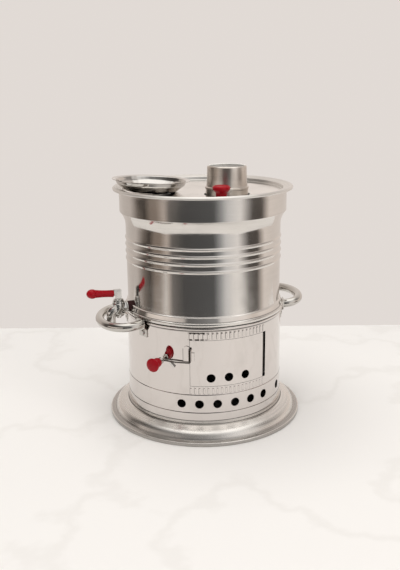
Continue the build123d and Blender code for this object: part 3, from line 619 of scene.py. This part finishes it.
# ---------------------------------------------------------------- ash pan and grate
# The pan is a dull pressed plate grey with ash, and the grate a slotted plate burnt dark. Both are
# seen only as shadows through the air holes.


def dressed(finish, *names):
    """Gives a finish to the nodes of these names."""
    for name in names:
        nodes[name].data.materials.clear()
        nodes[name].data.materials.append(finish.material)


ashy = Finish("ashy", metal=0.7)
ash = ashy.grain(60.0, 6.0)
ashy.rough(0.5 + ash * 0.35)
ashy.paint(ashy.blend(ash, (0.30, 0.28, 0.26), (0.10, 0.095, 0.09)))
ashy.relief(ash, 0.6)
dressed(ashy, "ash_pan")
dressed(soot, "fire_grate", "grate_brackets")

# ---------------------------------------------------------------- hinge and latch catch
# The door's steel pin stands in two lugs welded inside the doorway, and a small tongue spot-welded
# to the wall holds the latch's wire down.
drawn_steel = Finish("drawn_steel")
drawn_steel.paint((0.66, 0.645, 0.62))
drawing = drawn_steel.grain(420.0, 3.0, stretch=(1, 1, 0.08))
drawn_steel.rough(0.14 + drawing * 0.16)
drawn_steel.relief(drawing, 0.06)
dressed(drawn_steel, "hinge_pin", "latch_tongue")
dressed(soot, "hinge_lugs")

# ---------------------------------------------------------------- door
# The door is cut from the same polished sheet and has the wall's curve. It has three air holes, and
# its right edge is cranked inwards and curled round the pin, where painted shade darkens it.


def pivot(name):
    """The place of a joint of the frame, seen from above, in mm."""
    joint = next(joint for joint in frame["joints"] if joint["name"] == name)
    return Vector(joint["pos_m"][:2]) * metre


door_steel = bright("door_bright", ripple=1.6)
from_pin = door_steel.from_axis(*pivot("door_hinge"))
door_steel.lay_stain_and_shade(1 - from_pin.between(2.6, 3.4))
dressed(door_steel, "door")

# ---------------------------------------------------------------- latch
# A bent steel wire turns in the barrel of a clip on the door's left edge. It ends in a turned metal
# collar and a red knob, which stays cool enough to touch.
barrel_radius = 2.0
leg = pivot("latch_swing")
barrel_front = leg + leg.normalized() * barrel_radius
clip_steel = bright("clip_bright", ripple=0.3)
# Painted shade darkens the front of the barrel.
clip_steel.lay_stain_and_shade(1 - clip_steel.from_axis(*barrel_front).between(1.3, 1.7))
dressed(clip_steel, "latch_clip")

wire_steel = Finish("wire_steel")
wire_steel.paint((0.13, 0.12, 0.11))
wire_steel.rough(0.22 + wire_steel.grain(420.0, 3.0) * 0.2)
dressed(wire_steel, "latch_wire")

chrome = Finish("chrome")
film = chrome.grain(120.0, 4.0)
chrome.rough(0.04 + film.between(0.4, 0.8) * 0.10)
chrome.paint(chrome.blend(film, (0.66, 0.65, 0.63), (0.50, 0.49, 0.47)))
chrome.relief(film, 0.12)
dressed(chrome, "latch_ferrule")

red = Finish(
    "red_plastic", metal=0.0, Coat_Weight=0.05, Coat_Roughness=0.1, Specular_IOR_Level=0.2
)
cloud = red.grain(70.0, 3.0)
specks = red.grain(900.0, 2.0)
red.rough(0.22 + cloud * 0.1 + specks * 0.06)
red.paint(red.blend(cloud, (0.40, 0.002, 0.010), (0.25, 0.001, 0.007)))
red.relief(specks * 0.5 + cloud, 0.12)
dressed(red, "latch_knob")

# ---------------------------------------------------------------- handles
# Each handle is a bow of bright tube, bent by hand and brazed to two cranked brackets, which are
# riveted to the firebox.
tube_steel = bright("tube_bright", ripple=0.3, tint=(0.56, 0.54, 0.51))
dressed(tube_steel, "handle_left", "handle_right", "handle_brackets", "handle_rivets")

# ---------------------------------------------------------------- tank
# The tank is drawn from stainless sheet: a skirt over the firebox's edge, a pressed line, a wall with
# four ribs, a flare and a straight ring. It is brushed bright on a lathe.
tank_radius, skirt_radius, ring_radius = 108.0, 113.3, 115.6
ring_low, ring_top = 293.7, 324.4
rib_out, rib_half = 1.5, 2.1
tank_corners = [
    (110.6, 155.7),
    (skirt_radius, 156.4, 1.4),
    (skirt_radius, 160.3, 1.6),
    (111.5, 161.4, 0.8),
    (109.75, 167.7, 1.2),
    (tank_radius, 168.8, 1.0),
]
for rib in (228.0, 238.0, 247.8, 257.6):
    tank_corners += [
        (tank_radius, rib - rib_half, 1.6),
        (tank_radius + rib_out, rib, 1.5),
        (tank_radius, rib + rib_half, 1.6),
    ]
tank_corners += [
    (tank_radius, 284.95, 29.0),
    (ring_radius, ring_low, 1.2),
    (ring_radius, 319.0, 24.0),
    (ring_radius + 0.6, ring_top),
]
tank = spun("tank", folded(bent(tank_corners, steps=6), sheet), sides=320)
tap_turn, tap_height, shank_hole = -90, 165.2, 6.1
drilled(tank, punches("tap_punch", [(tap_turn, tap_height, shank_hole)], deep=24))

tank_steel = brushed("tank_brushed", wave=0.5)
# Painted shade darkens the lower and the upper edge of the skirt, and the steel is a little duller
# towards the top of the ring.
tank_steel.lay_stain_and_shade(tank_steel.z.near(155.6, 1.4) * 0.95)
tank_steel.lay_stain_and_shade(tank_steel.z.near(161.6, 0.9) * 0.55)
ring = tank_steel.z.between(293.0, 320.0)
tank_steel.rough(tank_steel.roughness + ring * 0.06)
fitted(tank, "stove", "brushed_steel", tank_steel, "tank_shell")
inner_steel = brushed("inner_brushed", wave=0.4, dull=0.1)
dressed(inner_steel, "tank_bottom", "flue_tube", "tap_washer")

# ---------------------------------------------------------------- chimney
# A short stainless collar with a rolled bead is pushed into the flue's top, and its rim is turned in.
# The fire has stained it in warm streaks. Its inside is pale with ash, and painted nearly white as
# painted light for the brightness that it reflects.
pipe_mount = next(row for row in frame["record"]["mounts"] if row["name"] == "chimney_pipe")
chimney_x, chimney_y, _ = (part * metre for part in pipe_mount["pos_m"])
chimney_foot = (chimney_x, chimney_y, 0)
bead_radius = 28.9
chimney_line = bent(
    [
        (28.2, 315.6),
        (28.0, 327.2, 0.4),
        (bead_radius, 328.0, 0.7),
        (bead_radius, 329.8, 0.8),
        (27.0, 331.0, 0.8),
        (26.3, 340.0, 6.0),
        (25.9, 356.2, 0.8),
        (24.0, 358.0, 0.4),
        (23.5, 356.6),
    ]
)
chimney = spun("chimney", folded(chimney_line, sheet), sides=160, foot=chimney_foot)
chimney_steel = brushed("chimney_brushed", wave=0.6, dull=0.2, tint=(0.72, 0.675, 0.63))
heat = chimney_steel.grain(30.0, 3.0, stretch=(1, 1, 0.35), shift=(1, 1, 4)).between(0.42, 0.62)
chimney_steel.lay_stain_and_shade(heat * 0.45, (0.30, 0.24, 0.18))
fitted(chimney, "stove", "bright_steel", chimney_steel, "chimney_stub")

# The near-white is pale ash and also painted light, standing in for the brightness the inside reflects.
ash_and_sheen = Finish("chimney_inside", metal=0.1)
ash_and_sheen.paint((0.93, 0.91, 0.88))
ash_and_sheen.rough(0.42 + ash_and_sheen.grain(80.0, 3.0) * 0.2)
lined(chimney, ash_and_sheen, reach=bead_radius, axis=chimney_foot[:2])

# ---------------------------------------------------------------- tap
# A chromed plug cock: the shank goes through the tank's wall to a washer and nut, and a tapered plug
# with a bent lever turns in the upright barrel.
brass = Finish("brass")
brass.paint((0.60, 0.42, 0.18))
turned = brass.grain(300.0, 3.0)
brass.rough(0.22 + turned * 0.2)
brass.relief(turned, 0.1)

rubber = Finish("gasket_rubber", metal=0.0)
rubber.paint((0.035, 0.006, 0.006))
pores = rubber.grain(700.0, 3.0)
rubber.rough(0.6 + pores * 0.25)
rubber.relief(pores, 0.1)

dressed(chrome, "tap_body", "tap_plug", "plug_washer", "plug_screw")
dressed(red, "tap_grip")
dressed(brass, "tap_lock_nut")
dressed(rubber, "tap_gasket")

# ---------------------------------------------------------------- lid
# A pressed lid with a sunk floor, a step that finds the tank's ring, a wide flange and a rolled rim.
# The chimney comes up through a punched hole, and a red knob stands near the front edge.
lid_floor = 320.0
flue_hole = 30.2
lid_line = bent(
    [
        (0.0, lid_floor),
        (109.6, lid_floor, 1.4),
        (110.8, 324.3, 1.0),
        (121.9, 327.2, 1.2),
        (124.35, 325.2, 0.6),
        (123.5, 322.9, 0.4),
        (122.5, 323.3),
    ]
)
lid = spun("lid_pressing", folded(lid_line, -sheet), sides=320)
punch_low, punch_high = lid_floor - 10, lid_floor + 10
punch_line = bent([(0, punch_low), (flue_hole, punch_low), (flue_hole, punch_high), (0, punch_high)])
drilled(lid, spun("flue_punch", punch_line, sides=128, foot=chimney_foot))

lid_steel = brushed("lid_brushed", wave=0.12, dull=0.03, tint=(0.74, 0.72, 0.69))
# The step and the flange are rougher than the floor inside them.
outer_part = lid_steel.from_axis().between(107.5, 109.5)
lid_steel.rough(lid_steel.roughness + outer_part * 0.25)
fitted(lid, "cover", "brushed_steel", lid_steel, "lid")

bore_radius, bore_top = 2.05, 332.0
knob_line = bent(
    [
        (0, bore_top),
        (bore_radius, bore_top),
        (bore_radius, lid_floor),
        (6.5, lid_floor, 0.4),
        (7.3, 329.0, 2.0),
        (11.0, 333.2, 1.2),
        (11.4, 336.2, 1.2),
        (9.6, 338.0, 0.7),
        (8.6, 337.2, 0.5),
        (0, 336.9),
    ]
)
knob_foot = (-14.9, -101.0, 0)
knob = spun("lid_knob_turned", knob_line, sides=96, foot=knob_foot)
fitted(knob, "cover", "red_plastic", red, "lid_knob")
dressed(drawn_steel, "lid_knob_screw")

# ---------------------------------------------------------------- teapot dish
# A loose dish of thin polished sheet. Its outer side rides up on the lid's step, so it leans a little
# and stands on the inner edge of its flat.
dish_x, dish_y = -72.4, 8.6
dish_lean = radians(2.9)
flat_radius, clearance = 30.0, 0.1
dish_out = Vector((dish_x, dish_y)).normalized()
dish_up = (-dish_out.x * sin(dish_lean), -dish_out.y * sin(dish_lean), cos(dish_lean))
dish_seat = (dish_x, dish_y, lid_floor + flat_radius * sin(dish_lean) + clearance)
dish_corners = [(0, 0), (35.0, 0.0, 12.0), (46.4, 9.0, 7.0), (48.0, 14.0, 1.0), (52.8, 14.9)]
dish_outline = folded(bent(dish_corners, steps=12), sheet)
dish = spun("dish_pressing", dish_outline, sides=200, foot=dish_seat, along=dish_up)
dish_steel = bright("dish_bright", ripple=1.8, tint=(0.60, 0.58, 0.555), lumps=62.0)
fitted(dish, "dish", "bright_steel", dish_steel, "teapot_dish")

# ---------------------------------------------------------------- studio
# A pale stone table in a pale room. The room in front of the table's edge is dark, and the steel
# shows it between the lighter walls, so each piece of steel reads as steel.
viewer_turn = radians(21.6)  # from the front, towards the tap
viewer_frame = Matrix.Rotation(-viewer_turn, 4, "Z")


def studio_sheet(name, corners, height, finish):
    """A level sheet of the studio: its corners in metres, square to the viewer."""
    mesh = bpy.data.meshes.new(name)
    places = [viewer_frame @ Vector((x, y, height)) for x, y in corners]
    mesh.from_pydata(places, [], [(0, 1, 2, 3)])
    mesh.materials.append(finish.material)
    plane = placed(name, mesh)
    return plane


stone = Finish("stone", metal=0.0)
vein = stone.grain(3.0, 6.0).near(0.5, 0.025)
patches = stone.grain(1.4, 3.0, shift=(4, 4, 0))
stone.paint(stone.blend(vein * 0.3 + patches * 0.15, (0.91, 0.895, 0.88), (0.78, 0.76, 0.735)))
stone.rough(0.5)
far_edge, floor_reach = 0.36, 6
floor_corners = (
    (-floor_reach, -floor_reach),
    (floor_reach, -floor_reach),
    (floor_reach, far_edge),
    (-floor_reach, far_edge),
)
floor = studio_sheet("floor", floor_corners, height=-0.0004, finish=stone)
floor.visible_glossy = False
# The steel mirrors this smaller table instead: beyond its edges lies the darker room.
table_corners = ((-0.68, -0.51), (0.70, -0.645), (0.70, far_edge), (-0.68, far_edge))
table = studio_sheet("table", table_corners, height=-0.0002, finish=stone)
table.visible_camera = False
table.visible_diffuse = False
table.visible_shadow = False
table.visible_transmission = False


class Room(Work):
    """The room round the table, as a world."""

    def walls(self, bearing, stops):
        """The colour at a bearing: each stop is (degrees, level, warmth), and they blend."""
        ramp = self.tree.nodes.new("ShaderNodeValToRGB")
        elements = ramp.color_ramp.elements
        for turn, _, _ in stops[1:-1]:
            elements.new((turn + 180) / 360)
        for element, (_, level, warmth) in zip(elements, stops):
            element.color = (level, level * (1 - warmth), level * (1 - 1.7 * warmth), 1)
        self.join(ramp.inputs[0], (bearing + 180) / 360)
        return Tone(self, ramp.outputs[0])


world = bpy.data.worlds.new("room")
bpy.context.scene.world = world
world.use_nodes = True
world.node_tree.nodes.clear()
room = Room(world.node_tree)
look = room.node("ShaderNodeTexCoord", {}, {}, "Generated")
turning = {"Vector": look, "Angle": viewer_turn}
square_look = room.node("ShaderNodeVectorRotate", {"rotation_type": "Z_AXIS"}, turning)
east, north, up = room.parts(square_look)

# Bearings run from -180 to 180 degrees. 0 is behind the viewer's back, the sides of the room are at
# -90 on the left and 90 on the right, and 180 is the wall behind the samovar.
bearing = east.sum("ARCTAN2", east, 0 - north) * degrees(1)
low_room = room.walls(
    bearing,
    [
        # The pale back wall, then dark furniture on the left with a lit front.
        (-180, 0.66, 0.10),
        (-116, 0.60, 0.10),
        (-98, 0.22, 0.16),
        (-85, 0.07, 0.18),
        (-75, 0.26, 0.19),
        (-65, 0.28, 0.20),
        (-54, 0.56, 0.14),
        # The dark room behind the viewer.
        (-46, 0.17, 0.10),
        (-28, 0.08, 0.03),
        (15, 0.10, 0.0),
        # A bright wall, a dark opening on the right, and the pale wall again.
        (25, 0.38, 0.0),
        (33, 0.70, 0.02),
        (51, 0.92, 0.05),
        (62, 0.40, 0.06),
        (70, 0.10, 0.12),
        (86, 0.10, 0.14),
        (94, 0.50, 0.12),
        (101, 0.84, 0.10),
        (130, 0.78, 0.10),
        (180, 0.66, 0.10),
    ],
)
middle_room = room.walls(
    bearing,
    [
        # The pale back wall, and a dark opening on the left.
        (-180, 0.86, 0.09),
        (-120, 0.66, 0.12),
        (-104, 0.14, 0.14),
        (-92, 0.14, 0.14),
        # A bright wall on either side of the dark room behind the viewer.
        (-86, 0.84, 0.11),
        (-60, 0.95, 0.10),
        (-29, 0.95, 0.09),
        (-23, 0.10, 0.06),
        (18, 0.08, 0.02),
        (24, 0.94, 0.06),
        (60, 0.98, 0.08),
        (74, 0.78, 0.12),
        (90, 0.90, 0.10),
        (130, 0.86, 0.12),
        (180, 0.86, 0.09),
    ],
)
high_room = room.walls(
    bearing,
    [
        # The upper part of the room is dark on the left and lit on the right.
        (-180, 0.88, 0.08),
        (-130, 0.66, 0.10),
        (-105, 0.10, 0.12),
        (-80, 0.07, 0.10),
        (-42, 0.16, 0.05),
        (0, 0.32, 0.02),
        (20, 0.55, 0.02),
        (42, 0.95, 0.02),
        (62, 0.95, 0.04),
        (88, 0.32, 0.08),
        (104, 0.40, 0.08),
        (133, 0.74, 0.08),
        (180, 0.88, 0.08),
    ],
)
# A dark post stands on the left, and the three parts of the room lie over one another.
post = bearing.near(-93, 14) * up.between(-0.19, -0.155)
black, ceiling = (0.0, 0.0, 0.0), (1.6, 1.57, 1.52)
mirrored = room.blend(post * 0.75, low_room, black)
mirrored = room.blend(up.between(-0.05, 0.05), mirrored, middle_room)
mirrored = room.blend(up.between(0.22, 0.33), mirrored, high_room)
mirrored = room.blend(up.between(0.72, 0.93), mirrored, ceiling)
glossy, camera_ray = (
    room.node("ShaderNodeLightPath", {}, {}, ray) for ray in ("Is Glossy Ray", "Is Camera Ray")
)
# The steel mirrors that room, but the light on the object is even and the backdrop plain.
soft_light, backdrop = (0.60, 0.585, 0.57), (0.755, 0.703, 0.666)
shown = room.blend(glossy, soft_light, mirrored)
shown = room.blend(camera_ray, shown, backdrop)
shine = room.node("ShaderNodeBackground", {}, {0: shown})
room.node("ShaderNodeOutputWorld", {}, {0: shine})


def lamp(name, place, aim, size, power, colour):
    """A soft lamp in the viewer's frame, in metres and watts, which the steel doesn't mirror."""
    light = bpy.data.lights.new(name, "AREA")
    light.shape = "RECTANGLE"
    light.size, light.size_y = size
    light.energy = power
    light.color = colour
    stand = placed(name, light)
    way = (Vector(aim) - Vector(place)).to_track_quat("-Z", "Y").to_matrix().to_4x4()
    stand.matrix_world = viewer_frame @ Matrix.Translation(place) @ way
    stand.visible_glossy = False


lamp(
    "top_light",
    place=(-0.2, -0.1, 1.9),
    aim=(0, 0, 0.1),
    size=(1.6, 1.2),
    power=18,
    colour=(1, 0.97, 0.93),
)
lamp(
    "side_light",
    place=(1.3, -1.1, 1.3),
    aim=(0, 0, 0.15),
    size=(0.6, 0.9),
    power=6,
    colour=(1, 0.97, 0.94),
)

# ---------------------------------------------------------------- camera
# The camera stands in front and a little above, about a metre off, and is held slightly askew. Its
# lens is set for a picture 570 pixels high.
picture_height, focal_pixels = 570, 724.4
eye_back, eye_height = 1.0016, 0.4556
yaw, pitch, roll = radians(-0.291), radians(15.227), radians(0.608)
camera = bpy.data.cameras.new("camera")
camera.sensor_width = 36
camera.lens = focal_pixels / picture_height * camera.sensor_width
camera.clip_start = 0.01
eye = placed("camera", camera)
right = Vector((cos(yaw), -sin(yaw), 0))
ahead = Vector((sin(yaw) * cos(pitch), cos(yaw) * cos(pitch), -sin(pitch)))
above = Vector((sin(yaw) * sin(pitch), cos(yaw) * sin(pitch), cos(pitch)))
rolled_right = right * cos(roll) - above * sin(roll)
rolled_up = right * sin(roll) + above * cos(roll)
axes = Matrix((rolled_right, rolled_up, -ahead)).transposed().to_4x4()
eye.matrix_world = viewer_frame @ Matrix.Translation((0, -eye_back, eye_height)) @ axes
bpy.context.scene.camera = eye
bpy.context.scene.view_settings.view_transform = "Standard"
